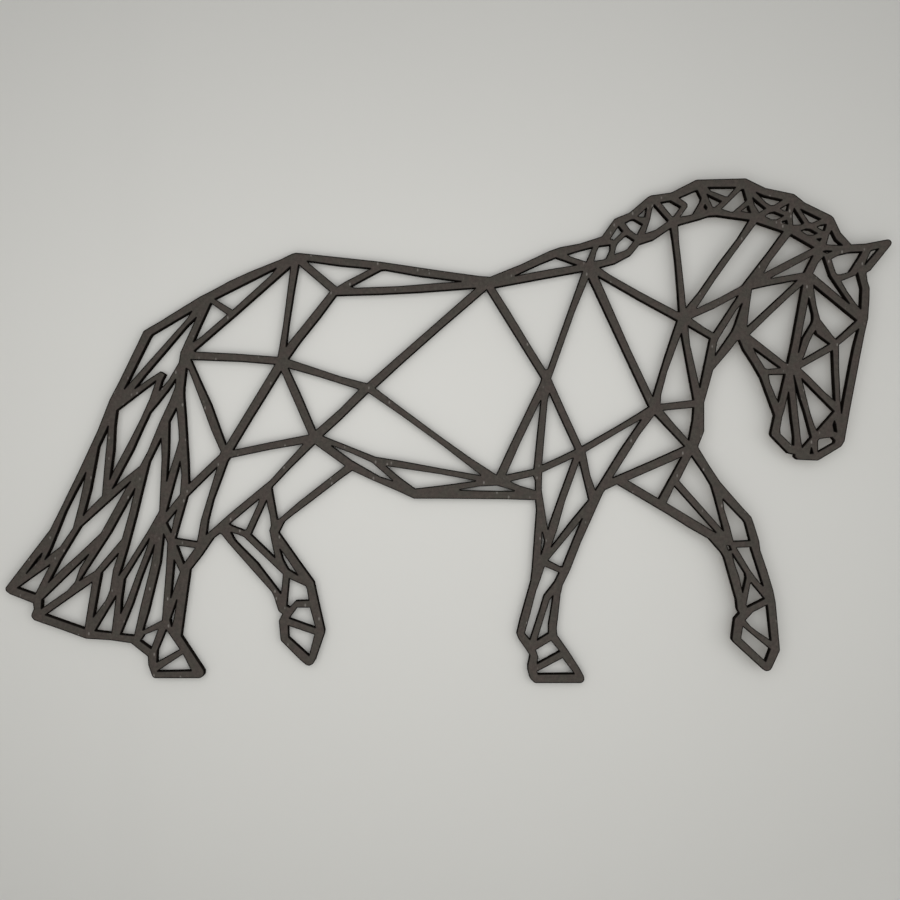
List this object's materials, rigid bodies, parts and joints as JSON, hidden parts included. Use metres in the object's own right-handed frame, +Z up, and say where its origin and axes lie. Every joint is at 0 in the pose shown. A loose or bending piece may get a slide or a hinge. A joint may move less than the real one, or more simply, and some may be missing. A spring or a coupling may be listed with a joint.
{
  "type": "geometric horse wall sculpture",
  "caption": "Flat geometric horse silhouette for a wall, cut from thin sheet as a web of straight bars around triangular openings.",
  "frame": {"origin": "on the flat back face, in the middle of the broad web at the horse's back, where the sheet rests against the wall", "axes": "+Z up, +X towards the horse's head, +Y into the wall; the front face looks along -Y"},
  "size_m": [0.3999, 0.003, 0.2278],
  "materials": {
    "stained_board": "dark grey-brown stain, matt, with charred cut edges"
  },
  "bodies": {
    "root": {"horse": "stained_board"}
  },
  "joints": []
}
